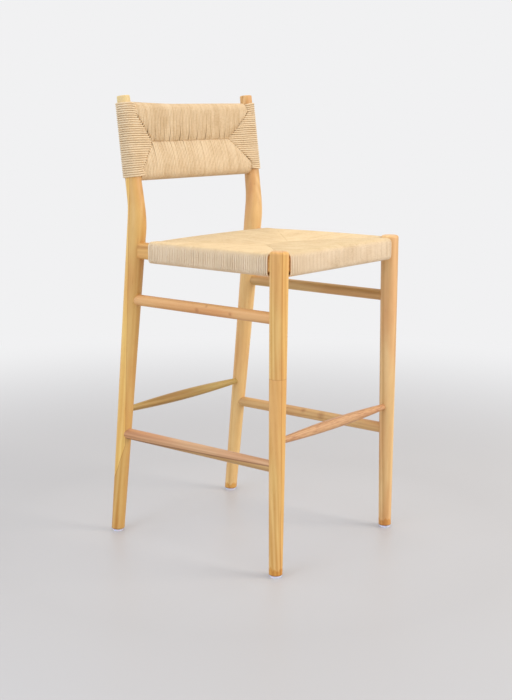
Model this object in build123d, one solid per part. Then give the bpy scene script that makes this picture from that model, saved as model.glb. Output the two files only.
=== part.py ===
from build123d import *
import math
import os

# Counter-height stool: a turned hardwood frame of legs, rails and stretchers joined by glued
# tenons, with a seat and a back of paper cord wound round the rails in the envelope pattern.
# Millimetres. +Z is up, the sitter faces -Y, and +X is the sitter's left. The origin is on the
# floor, in the middle of the part's outline.

# Front legs: turned, straight, swelling gently from foot to top
front_leg_proud = 4.1
front_leg_y = -228.4
front_foot_spread = 408.2
front_leg_top_diameter = 38.2
front_leg_middle_diameter = 34.4
front_leg_foot_diameter = 28.0
front_leg_top_rounding = 5.0

# Rear legs: thickest under the bend above the seat, then leaning back as slimmer posts
post_rise = 325.0
knee_rise = 75.5
rear_foot_y = 228.7
rear_knee_y = 153.4
rear_top_y = 184.9
rear_knee_radius = 300.0
rear_foot_spread = 399.6
rear_top_spread = 408.6
rear_leg_foot_diameter = 29.0
rear_leg_knee_diameter = 42.0
rear_post_diameter = 37.2
rear_leg_top_diameter = 27.6
rear_leg_top_rounding = 2.5
bend_sections = 5

foot_chamfer = 1.5

# Seat rails: upright ovals, let into the legs with flat tenons
rail_spread = 397.2
rail_centre_height = 643.5
rail_thickness = 24.0
rail_height = 35.0
rail_edge_radius = 8.0
rear_rail_y = 93.2
rail_tenon_thickness = 12.0
rail_tenon_height = 20.0
rail_tenon_past_axis = 6.0
rear_rail_tenon_past_axis = 2.0

# Side stretchers: plain dowels, two on each side
side_stretcher_diameter = 24.0
upper_stretcher_height = 535.7
lower_stretcher_height = 231.9
stretcher_tenon_diameter = 16.0
stretcher_tenon_past_axis = 4.0

# Front footrest and rear stretcher: spindles that swell to the middle
spindle_height = 284.7
spindle_middle_diameter = 22.6
spindle_end_diameter = 13.0
spindle_tenon_past_axis = 4.0
spindle_shoulder_gap = 0.6

# Back rails: dowels between the posts, hidden in the back weave
back_rail_diameter = 22.0
back_rail_tenon_diameter = 12.0
back_rail_tenon_past_axis = 3.0

# Paper cord weave
cord_diameter = 4.6
back_weave_height = 161.3
back_weave_below_top = 17.2
post_wrap_lift = 8.0
back_seam_thickness = 13.0
back_mitre_length = 78.0
seat_seam_thickness = 30.0
layer_drop = 0.6

# Card stuffing between the seat's layers of cord
stuffing_wall = 7.0

# Glides nailed under the feet
glide_diameter = 24.0
glide_thickness = 4.5
glide_edge_rounding = 1.2
nail_diameter = 2.5
nail_length = 22.0
nail_head_diameter = 8.0
nail_head_thickness = 1.2
nail_head_recess = 2.0

# Fits
tenon_clearance = 0.1
tenon_end_gap = 1.0
weave_clearance = 0.3
leg_notch_clearance = 0.5
nail_clearance = 0.05

# Heights that follow from the seat rails
wrap = weave_clearance + cord_diameter
front_leg_height = rail_centre_height + rail_height / 2 + wrap + front_leg_proud
rear_knee_height = rail_centre_height + knee_rise
rear_leg_height = rail_centre_height + post_rise
back_weave_top_height = rear_leg_height - back_weave_below_top
back_weave_bottom_height = back_weave_top_height - back_weave_height

SIDES = {"right": -1, "left": 1}


# Leg axes

def along(start, end, height):
    """The point at a height on the straight line through two points."""
    return start + (end - start) * ((height - start.Z) / (end.Z - start.Z))


def front_axis(side, height):
    """The front leg's axis, which leans in from the foot to the seat rail."""
    foot = Vector(side * front_foot_spread / 2, front_leg_y, 0)
    rail = Vector(side * rail_spread / 2, front_leg_y, rail_centre_height)
    return along(foot, rail, height)


def rear_foot(side):
    return Vector(side * rear_foot_spread / 2, rear_foot_y, 0)


def rear_knee(side):
    """The corner of the rear leg's axis, in line with its foot and its seat rail."""
    rail_share = rear_knee_height / rail_centre_height
    inset = (rear_foot_spread - rail_spread) / 2 * rail_share
    return Vector(side * (rear_foot_spread / 2 - inset), rear_knee_y, rear_knee_height)


def rear_top(side):
    return Vector(side * rear_top_spread / 2, rear_top_y, rear_leg_height)


def rear_axis(side, height):
    """The rear leg's axis below the bend."""
    return along(rear_foot(side), rear_knee(side), height)


def post_axis(side, height):
    """The rear leg's axis above the bend."""
    return along(rear_knee(side), rear_top(side), height)


def post_radius(height):
    """The rear leg's radius above the bend, where it tapers to the top."""
    share = (height - rear_knee_height) / (rear_leg_height - rear_knee_height)
    return (rear_post_diameter + share * (rear_leg_top_diameter - rear_post_diameter)) / 2


def shin_radius(height):
    """The rear leg's radius below the bend, where it tapers to the foot."""
    share = height / rear_knee_height
    return (rear_leg_foot_diameter + share * (rear_leg_knee_diameter - rear_leg_foot_diameter)) / 2


# Building blocks

def rod(start, end, diameter):
    """A round bar between two points."""
    length = (end - start).length
    bar = Cylinder(diameter / 2, length, align=(Align.CENTER, Align.CENTER, Align.MIN))
    return Plane(origin=start, z_dir=end - start) * bar


def bar(start, end, section):
    """A level bar of a given upright section between two points."""
    direction = (end - start).normalized()
    face = Plane(origin=start, x_dir=direction.cross(Vector(0, 0, 1)), z_dir=direction) * section
    return extrude(face, amount=(end - start).length, dir=direction)


def rail_section(growth=0.0):
    """The seat rail's section, grown all round by a given amount."""
    return RectangleRounded(
        rail_thickness + 2 * growth,
        rail_height + 2 * growth,
        rail_edge_radius + growth,
    )


def tenon_section(growth=0.0):
    return Rectangle(rail_tenon_thickness + 2 * growth, rail_tenon_height + 2 * growth)


def prism(points, plane, length):
    """A straight-sided block: an outline on a plane, drawn out both ways from it."""
    outline = plane * make_face(Polyline(*points, close=True))
    return extrude(outline, amount=length / 2, both=True)


def past(inner, outer, distance):
    """The point a distance beyond outer, seen from inner."""
    return outer + (outer - inner).normalized() * distance


# Raw legs, before their mortises

floor_cut = Pos(0, 0, glide_thickness) * Box(
    2 * rear_top_spread, 4 * rear_foot_y, rear_leg_foot_diameter,
    align=(Align.CENTER, Align.CENTER, Align.MAX),
)


def raw_front_leg(side):
    """A turned leg: a gentle swell from foot to top, with a rounded-over flat top."""
    outline = [
        Line((0, 0), (front_leg_foot_diameter / 2, 0)),
        Spline(
            (front_leg_foot_diameter / 2, 0),
            (front_leg_middle_diameter / 2, front_leg_height / 2),
            (front_leg_top_diameter / 2, front_leg_height),
        ),
        Line((front_leg_top_diameter / 2, front_leg_height), (0, front_leg_height)),
        Line((0, front_leg_height), (0, 0)),
    ]
    profile = make_face(Curve() + outline)
    shoulder = profile.vertices().sort_by(SortBy.DISTANCE)[-1]
    profile = Plane.XZ * fillet(shoulder, front_leg_top_rounding)
    turned = revolve(profile, axis=Axis.Z)
    foot = front_axis(side, 0)
    lean = front_axis(side, front_leg_height) - foot
    leg = Plane(origin=foot, x_dir=(0, 1, 0), z_dir=lean) * turned - floor_cut
    return chamfer(leg.edges().group_by(Axis.Z)[0], foot_chamfer)


def raw_rear_leg(side):
    """A bent leg: a tapered run up to the bend, the arc of the bend, and a tapered post."""
    below_floor = along(rear_foot(side), rear_knee(side), -glide_thickness)
    path = FilletPolyline(below_floor, rear_knee(side), rear_top(side), radius=rear_knee_radius)
    lower, bend, upper = path.edges().sort_by(Axis.Z)

    def ring(run, share, radius):
        return Plane(origin=run @ share, x_dir=(1, 0, 0), z_dir=run % share) * Circle(radius)

    low = (bend @ 0).Z
    high = (bend @ 1).Z
    third = (high - low) / 3
    bend_rings = []
    for step in range(bend_sections):
        share = step / (bend_sections - 1)
        rest = 1 - share
        radius = (
            rest ** 3 * shin_radius(low)
            + 3 * rest ** 2 * share * shin_radius(low + third)
            + 3 * rest * share ** 2 * post_radius(high - third)
            + share ** 3 * post_radius(high)
        )
        bend_rings.append(ring(bend, share, radius))
    shin = loft([ring(lower, 0, shin_radius((lower @ 0).Z)), bend_rings[0]], ruled=True)
    post = loft([bend_rings[-1], ring(upper, 1, post_radius((upper @ 1).Z))], ruled=True)
    post = fillet(post.edges().sort_by(Axis.Z)[-1], rear_leg_top_rounding)
    shin = shin - floor_cut
    shin = chamfer(shin.edges().group_by(Axis.Z)[0], foot_chamfer)
    return shin + loft(bend_rings) + post


parts = {}
legs = {}
for name, side in SIDES.items():
    legs["front", name] = raw_front_leg(side)
    legs["rear", name] = raw_rear_leg(side)
raw_legs = dict(legs)


def cut_mortise(where, tool):
    legs[where] = legs[where] - tool


# Side seat rails: tenons in the front and rear legs, coped shoulders

side_rails = {}
for name, side in SIDES.items():
    front = front_axis(side, rail_centre_height)
    rear = rear_axis(side, rail_centre_height)
    front_tip = past(rear, front, rail_tenon_past_axis)
    rear_tip = past(front, rear, rail_tenon_past_axis)
    rail = bar(front, rear, rail_section()) - raw_legs["front", name] - raw_legs["rear", name]
    side_rails[name] = rail + bar(front_tip, rear_tip, tenon_section())
    mortise = bar(
        past(rear, front, rail_tenon_past_axis + tenon_end_gap),
        past(front, rear, rail_tenon_past_axis + tenon_end_gap),
        tenon_section(tenon_clearance),
    )
    cut_mortise(("front", name), mortise)
    cut_mortise(("rear", name), mortise)

# Front seat rail: stub tenons that stop at the cheeks of the side rails' tenons

front_right = front_axis(-1, rail_centre_height)
front_left = front_axis(1, rail_centre_height)
front_rail = bar(front_right, front_left, rail_section())
front_rail = front_rail - raw_legs["front", "right"] - raw_legs["front", "left"]
cheek = rail_tenon_thickness / 2 + tenon_clearance
stub_right = past(front_left, front_right, -cheek - tenon_end_gap)
stub_left = past(front_right, front_left, -cheek - tenon_end_gap)
parts["seat_front_rail"] = front_rail + bar(stub_right, stub_left, tenon_section())
stub_mortise = bar(
    past(front_left, front_right, -cheek),
    past(front_right, front_left, -cheek),
    tenon_section(tenon_clearance),
)
cut_mortise(("front", "right"), stub_mortise)
cut_mortise(("front", "left"), stub_mortise)

# Rear seat rail: ahead of the rear legs, let into the side rails

rear_right = Vector(-rail_spread / 2, rear_rail_y, rail_centre_height)
rear_left = Vector(rail_spread / 2, rear_rail_y, rail_centre_height)
rear_rail = bar(rear_right, rear_left, rail_section()) - side_rails["right"] - side_rails["left"]
parts["seat_rear_rail"] = rear_rail + bar(
    past(rear_left, rear_right, rear_rail_tenon_past_axis),
    past(rear_right, rear_left, rear_rail_tenon_past_axis),
    tenon_section(),
)
rear_mortise = bar(
    past(rear_left, rear_right, rear_rail_tenon_past_axis + tenon_end_gap),
    past(rear_right, rear_left, rear_rail_tenon_past_axis + tenon_end_gap),
    tenon_section(tenon_clearance),
)
for name in SIDES:
    parts[f"seat_{name}_rail"] = side_rails[name] - rear_mortise

# Side stretchers: dowels with round tenons and coped shoulders

for level, height in (("upper", upper_stretcher_height), ("lower", lower_stretcher_height)):
    for name, side in SIDES.items():
        front = front_axis(side, height)
        rear = rear_axis(side, height)
        dowel = rod(front, rear, side_stretcher_diameter)
        dowel = dowel - raw_legs["front", name] - raw_legs["rear", name]
        parts[f"{level}_{name}_stretcher"] = dowel + rod(
            past(rear, front, stretcher_tenon_past_axis),
            past(front, rear, stretcher_tenon_past_axis),
            stretcher_tenon_diameter,
        )
        mortise = rod(
            past(rear, front, stretcher_tenon_past_axis + tenon_end_gap),
            past(front, rear, stretcher_tenon_past_axis + tenon_end_gap),
            stretcher_tenon_diameter + 2 * tenon_clearance,
        )
        cut_mortise(("front", name), mortise)
        cut_mortise(("rear", name), mortise)


# Footrest and rear stretcher: swelled spindles whose ends are the tenons

def spindle(start, end, shoulder):
    """A turned spindle: straight ends out to the shoulders, and an arc between them."""
    length = (end - start).length
    end_radius = spindle_end_diameter / 2
    outline = [
        Line((0, shoulder), (end_radius, shoulder)),
        ThreePointArc(
            (end_radius, shoulder),
            (spindle_middle_diameter / 2, length / 2),
            (end_radius, length - shoulder),
        ),
        Line((end_radius, length - shoulder), (0, length - shoulder)),
        Line((0, length - shoulder), (0, shoulder)),
    ]
    swell = revolve(Plane.XZ * make_face(Curve() + outline), axis=Axis.Z)
    tips = rod(
        past(end, start, spindle_tenon_past_axis),
        past(start, end, spindle_tenon_past_axis),
        spindle_end_diameter,
    )
    return Plane(origin=start, x_dir=(0, 0, 1), z_dir=end - start) * swell + tips


for node, row, axis_of in (
    ("front_footrest", "front", front_axis),
    ("rear_stretcher", "rear", rear_axis),
):
    right = axis_of(-1, spindle_height)
    left = axis_of(1, spindle_height)
    slice_height = Plane(origin=(0, 0, spindle_height))
    leg_slice = section(raw_legs[row, "left"], section_by=slice_height)
    shoulder = leg_slice.bounding_box().size.X / 2 + spindle_shoulder_gap
    parts[node] = spindle(right, left, shoulder)
    mortise = rod(
        past(left, right, spindle_tenon_past_axis + tenon_end_gap),
        past(right, left, spindle_tenon_past_axis + tenon_end_gap),
        spindle_end_diameter + 2 * tenon_clearance,
    )
    cut_mortise((row, "right"), mortise)
    cut_mortise((row, "left"), mortise)

# Back rails: dowels between the posts, one cord's thickness inside the weave's edges

back_rail_inset = back_rail_diameter / 2 + wrap
back_rail_heights = {
    "top": back_weave_top_height - back_rail_inset,
    "bottom": back_weave_bottom_height + back_rail_inset,
}
back_rail_room = []
for level, height in back_rail_heights.items():
    right = post_axis(-1, height)
    left = post_axis(1, height)
    dowel = rod(right, left, back_rail_diameter)
    dowel = dowel - raw_legs["rear", "right"] - raw_legs["rear", "left"]
    parts[f"back_{level}_rail"] = dowel + rod(
        past(left, right, back_rail_tenon_past_axis),
        past(right, left, back_rail_tenon_past_axis),
        back_rail_tenon_diameter,
    )
    back_rail_room.append(rod(right, left, back_rail_diameter + 2 * weave_clearance))
    mortise = rod(
        past(left, right, back_rail_tenon_past_axis + tenon_end_gap),
        past(right, left, back_rail_tenon_past_axis + tenon_end_gap),
        back_rail_tenon_diameter + 2 * tenon_clearance,
    )
    cut_mortise(("rear", "right"), mortise)
    cut_mortise(("rear", "left"), mortise)

# Seat weave: a sleeve of cord round each rail, and two layers that fall from the rails to a
# short seam in the middle. The four panels meet on mitres at 45 degrees, as an envelope does.

front_rail_y = front_leg_y
seam_y = (front_rail_y + rear_rail_y) / 2
half_depth = (rear_rail_y - front_rail_y) / 2
half_width = rail_spread / 2
panel_reach = min(half_width, half_depth)
sleeve_thickness = rail_thickness + 2 * wrap
sleeve_height = rail_height + 2 * wrap

# Each panel: the middle of its rail, the way in from the rail, and half the rail's length
panels = {
    "front": (Vector(0, front_rail_y, rail_centre_height), Vector(0, 1, 0), half_width),
    "rear": (Vector(0, rear_rail_y, rail_centre_height), Vector(0, -1, 0), half_width),
    "right": (Vector(-half_width, seam_y, rail_centre_height), Vector(1, 0, 0), half_depth),
    "left": (Vector(half_width, seam_y, rail_centre_height), Vector(-1, 0, 0), half_depth),
}


def panel_layers(shrink):
    """The section of a panel's two layers, thinner by shrink on each face."""
    rim = sleeve_height / 2 - layer_drop - shrink
    seam = seat_seam_thickness / 2 - shrink
    slope = [(0, rim), (panel_reach, seam), (panel_reach, -seam), (0, -rim)]
    return make_face(Polyline(*slope, close=True))


def panel_block(name, outline, start, deep, wall):
    """An outline drawn along the panel's rail, from start to deep, trimmed inside its mitres."""
    middle, inward, half_length = panels[name]
    upright = Plane(origin=middle, x_dir=inward, z_dir=inward.cross(Vector(0, 0, 1)))
    level = Plane(origin=middle, x_dir=inward, z_dir=(0, 0, 1))
    run = extrude(upright * outline, amount=half_length + sleeve_thickness, both=True)
    wide = half_length - start - wall
    narrow = half_length - deep - wall
    if narrow > 0:
        plan = [(start, wide), (deep, narrow), (deep, -narrow), (start, -wide)]
    else:
        plan = [(start, wide), (half_length - wall, 0), (start, -wide)]
    return run & prism(plan, level, 2 * sleeve_height)


def seat_panel(name):
    """One panel of the weave, solid, with the sleeve round its rail."""
    sleeve = RectangleRounded(sleeve_thickness, sleeve_height, rail_edge_radius + wrap)
    return panel_block(name, panel_layers(0) + sleeve, -sleeve_thickness, panel_reach, 0)


def stuffing_wedge(name, gap, start):
    """The card between one panel's layers, clear of the rail, the layers and the mitres."""
    deep = panel_reach - stuffing_wall / 2 - gap
    wall = (stuffing_wall + gap) * math.sqrt(2)
    return panel_block(name, panel_layers(cord_diameter + gap), start, deep, wall)


seat_weave = seat_panel("front")
for name in ("rear", "right", "left"):
    seat_weave = seat_weave + seat_panel(name)

rail_level = Plane(origin=(0, 0, rail_centre_height))
leg_at_rail = section(raw_legs["front", "left"], section_by=rail_level)
notch = leg_at_rail.bounding_box().size.X / 2 + leg_notch_clearance
for side in SIDES.values():
    leg_corner = Pos(side * (half_width + notch), front_rail_y - notch, rail_centre_height)
    seat_weave = seat_weave - leg_corner * Box(4 * notch, 4 * notch, 2 * sleeve_height)
rail_lines = [(front_right, front_left), (rear_right, rear_left)]
for side in SIDES.values():
    rail_lines.append((front_axis(side, rail_centre_height), rear_axis(side, rail_centre_height)))
for start, end in rail_lines:
    seat_weave = seat_weave - bar(start, end, rail_section(weave_clearance))
for name in panels:
    seat_weave = seat_weave - stuffing_wedge(name, 0, 0)
parts["seat_weave"] = seat_weave

beside_rail = rail_thickness / 2 + weave_clearance
parts["seat_stuffing"] = Compound(
    [stuffing_wedge(name, weave_clearance, beside_rail) for name in panels])

# Back weave: cones of cord round the posts, a bone section between the back rails, and a wedge
# from each post whose mitres run at 45 degrees to the ends of the seam

back_middle_height = (back_weave_top_height + back_weave_bottom_height) / 2
back_centre = Vector(0, post_axis(1, back_middle_height).Y, back_middle_height)
back_up = Vector(0, rear_top_y - rear_knee_y, rear_leg_height - rear_knee_height).normalized()
back_normal = Vector(1, 0, 0).cross(back_up)
half_reach = post_axis(1, back_middle_height).X
rail_offset = (back_rail_heights["top"] - back_middle_height) / back_up.Z
edge_offset = (back_weave_top_height - back_middle_height) / back_up.Z
back_seam_half = back_seam_thickness / 2

upright = Plane(origin=back_centre, x_dir=back_up, z_dir=(1, 0, 0))
bone = [
    (rail_offset, back_rail_inset), (0, back_seam_half), (-rail_offset, back_rail_inset),
    (-rail_offset, -back_rail_inset), (0, -back_seam_half), (rail_offset, -back_rail_inset),
]
back_weave = prism(bone, upright, 2 * half_reach)
for height in back_rail_heights.values():
    back_weave = back_weave + rod(
        post_axis(-1, height), post_axis(1, height), 2 * back_rail_inset,
    )

post_wrap_radius = post_radius(back_weave_top_height) + wrap
facing = Plane(origin=back_centre, x_dir=(1, 0, 0), z_dir=back_normal)
crosswise = Plane(origin=back_centre, x_dir=(1, 0, 0), z_dir=back_up)
for side in SIDES.values():
    apex = side * (half_reach - back_mitre_length)
    post = side * half_reach
    thickness = [
        (post, post_wrap_radius), (apex, back_seam_half),
        (apex, -back_seam_half), (post, -post_wrap_radius),
    ]
    mitres = [(post, edge_offset), (apex, 0), (post, post_wrap_lift - edge_offset)]
    wedge = prism(thickness, crosswise, 2 * edge_offset) & prism(mitres, facing, 4 * post_wrap_radius)
    back_weave = back_weave + wedge


def post_sleeve(side, growth, bottom, top):
    """A cone round the post between two heights, grown from the post's surface."""
    rings = []
    for height in (bottom, top):
        ring = Circle(post_radius(height) + growth)
        lean = post_axis(side, rear_leg_height) - post_axis(side, rear_knee_height)
        rings.append(Plane(origin=post_axis(side, height), x_dir=(1, 0, 0), z_dir=lean) * ring)
    return loft(rings, ruled=True)


for side in SIDES.values():
    back_weave = back_weave + post_sleeve(
        side, wrap, back_weave_bottom_height + post_wrap_lift, back_weave_top_height)
for side in SIDES.values():
    back_weave = back_weave - post_sleeve(
        side, weave_clearance,
        back_weave_bottom_height - cord_diameter, back_weave_top_height + cord_diameter)
for room in back_rail_room:
    back_weave = back_weave - room
parts["back_weave"] = back_weave

# Glides: a pad under each foot, with its nail's head let into the underside


def upright_disc(diameter, bottom, top):
    disc = Cylinder(diameter / 2, top - bottom, align=(Align.CENTER, Align.CENTER, Align.MIN))
    return Pos(0, 0, bottom) * disc


nail_hole_diameter = nail_diameter + 2 * nail_clearance
nail_tip = nail_head_recess + nail_length
head_bottom = nail_head_recess - nail_head_thickness
pad = upright_disc(glide_diameter, 0, glide_thickness)
pad = fillet(pad.edges().sort_by(Axis.Z)[0], glide_edge_rounding)
pad = pad - upright_disc(nail_hole_diameter, 0, glide_thickness)
pad = pad - upright_disc(nail_head_diameter + 2 * tenon_clearance, 0, nail_head_recess)
nail = upright_disc(nail_diameter, head_bottom, nail_tip)
nail = nail + upright_disc(nail_head_diameter, head_bottom, nail_head_recess)
nail_hole = upright_disc(nail_hole_diameter, 0, nail_tip + tenon_end_gap)

nails = []
for row, axis_of in (("front", front_axis), ("rear", rear_axis)):
    for name, side in SIDES.items():
        foot = axis_of(side, glide_thickness)
        spot = Pos(foot.X, foot.Y, 0)
        parts[f"{row}_{name}_glide"] = spot * pad
        nails.append(spot * nail)
        cut_mortise((row, name), spot * nail_hole)
parts["glide_nails"] = Compound(nails)

for (row, name), leg in legs.items():
    parts[f"{row}_{name}_leg"] = leg

# The origin goes to the middle of the outline, on the floor

boxes = [shape.bounding_box() for shape in parts.values()]
middle_x = (min(box.min.X for box in boxes) + max(box.max.X for box in boxes)) / 2
middle_y = (min(box.min.Y for box in boxes) + max(box.max.Y for box in boxes)) / 2
to_origin = Pos(-middle_x, -middle_y, 0)
os.makedirs("parts", exist_ok=True)
for node, shape in parts.items():
    export_step(to_origin * shape, f"parts/{node}.step")
print("moved to the origin by", -middle_x, -middle_y)
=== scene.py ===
import math
import random

import bmesh
import bpy
from mathutils import Euler, Matrix, Vector


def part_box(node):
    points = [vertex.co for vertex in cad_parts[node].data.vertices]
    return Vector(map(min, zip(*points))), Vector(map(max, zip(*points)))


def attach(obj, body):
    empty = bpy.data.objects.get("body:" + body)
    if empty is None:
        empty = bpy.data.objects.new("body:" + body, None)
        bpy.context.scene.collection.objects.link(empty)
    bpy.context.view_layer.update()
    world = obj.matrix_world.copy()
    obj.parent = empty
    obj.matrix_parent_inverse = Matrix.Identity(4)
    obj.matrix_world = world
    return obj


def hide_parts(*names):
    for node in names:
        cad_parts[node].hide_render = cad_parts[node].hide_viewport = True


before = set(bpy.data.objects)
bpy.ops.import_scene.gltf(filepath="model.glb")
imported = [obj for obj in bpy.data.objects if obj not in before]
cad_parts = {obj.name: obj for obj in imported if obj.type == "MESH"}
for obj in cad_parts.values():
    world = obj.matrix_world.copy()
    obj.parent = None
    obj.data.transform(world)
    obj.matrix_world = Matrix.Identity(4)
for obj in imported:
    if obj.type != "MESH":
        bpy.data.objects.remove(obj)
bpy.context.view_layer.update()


# Camera
# Level with the top of the back, in front of the stool and well to its right. The place, turn and
# lens put every foot and joint where the picture shows it.

MM = 0.001
CAMERA_PLACE = Vector((-2183.4, -1756.8, 970.4)) * MM
CAMERA_AZIMUTH = math.radians(-51.33)
CAMERA_ELEVATION = math.radians(11.215)
CAMERA_ROLL = math.radians(0.16)
CAMERA_LENS = 66.15
CAMERA_SENSOR = 36.0

camera_data = bpy.data.cameras.new("studio_camera")
camera_data.lens = CAMERA_LENS
camera_data.sensor_width = CAMERA_SENSOR
camera = bpy.data.objects.new("studio_camera", camera_data)
bpy.context.scene.collection.objects.link(camera)
bpy.context.scene.camera = camera
camera.location = CAMERA_PLACE
level_turn = Euler((math.pi / 2 - CAMERA_ELEVATION, 0, CAMERA_AZIMUTH)).to_matrix()
camera.rotation_euler = (level_turn @ Matrix.Rotation(CAMERA_ROLL, 3, "Z")).to_euler()


# Front legs
# Two turned legs of pale honey-coloured hardwood, thicker at the seat than at the floor, with
# flat tops that stand just above the cord. Sanded fine and finished with a satin clear oil. The
# right leg is finger-jointed from two lengths, which shows as a fine ring part way up.

def linear(hex_colour):
    """An sRGB hex colour as linear RGBA."""
    channels = [int(hex_colour[i:i + 2], 16) / 255 for i in (1, 3, 5)]
    return [c / 12.92 if c <= 0.04045 else ((c + 0.055) / 1.055) ** 2.4 for c in channels] + [1.0]


def add_node(tree, kind, settings=None, links=None, out=0):
    """Adds a node, sets its properties, input values and ramp stops by name, links its inputs,
    and gives one of its outputs."""
    node = tree.nodes.new(kind)
    for key, value in (settings or {}).items():
        if key == "stops":
            elements = node.color_ramp.elements
            while len(elements) < len(value):
                elements.new(0.5)
            for element, (position, hex_colour) in zip(elements, value):
                element.position = position
                element.color = linear(hex_colour)
        elif isinstance(key, str) and hasattr(node, key):
            setattr(node, key, value)
        else:
            node.inputs[key].default_value = value
    for key, socket in (links or {}).items():
        tree.links.new(socket, node.inputs[key])
    return node.outputs[out]


def new_material(name):
    """An empty node material, as (material, node tree, output's surface input)."""
    material = bpy.data.materials.new(name)
    material.use_nodes = True
    tree = material.node_tree
    tree.nodes.clear()
    return material, tree, tree.nodes.new("ShaderNodeOutputMaterial").inputs["Surface"]


SATIN_IOR = 1.48
SATIN_SPECULAR = 0.45
SATIN_ROUGHNESS = (0.36, 0.52)
WAVE_REPEAT = math.tau / 20
SWAY_SIZE = 33.33 * MM
SWAY_REACH = 30 * MM
RING_FADE_SIZE = 41.67 * MM
STREAK_WIDTH = 6.667 * MM
PORE_WIDTH = 1.111 * MM
PORE_DEPTH = 0.2 * MM
MOTTLE_SIZE = 38.46 * MM
FLECK_WIDTH = 2.381 * MM
GRAIN_STRETCH = (1.0, 1.0, 0.06)
FIBRE_STRETCH = (1.0, 1.0, 0.02)
MOTTLE_STRETCH = (1.0, 1.0, 0.2)
FLECK_STRETCH = (1.0, 1.0, 0.1)
BOARD_SHIFT = Vector((4.0, 3.0, 300.0)) * MM
BOARD_SLANT = (0.05, 0.03, 0.0)
SAPWOOD_WANDER = 2.4 * MM
SOAK_WANDER = 26 * MM
SOAK_EDGE = 4 * MM
PALE_EDGE = 4 * MM
FOOT_DARKENING_FROM = 7.5 * MM
FOOT_DARKENING_FULL = 5.5 * MM
GLUE_FROM = 1.3 * MM
GLUE_FULL = 0.3 * MM
FLUSH_TINT = "#F6E6DE"
PORE_TINT = "#CFA878"
FLECK_TINT = "#AC7048"
FOOT_DARKENING_TINT = "#9C6E3C"
SOAK_TINT = "#EBCB84"
GLUE_TINT = "#C79A66"
KNOT_TINT = "#A97444"
PALE_WOOD = "#E4CD8F"


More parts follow.
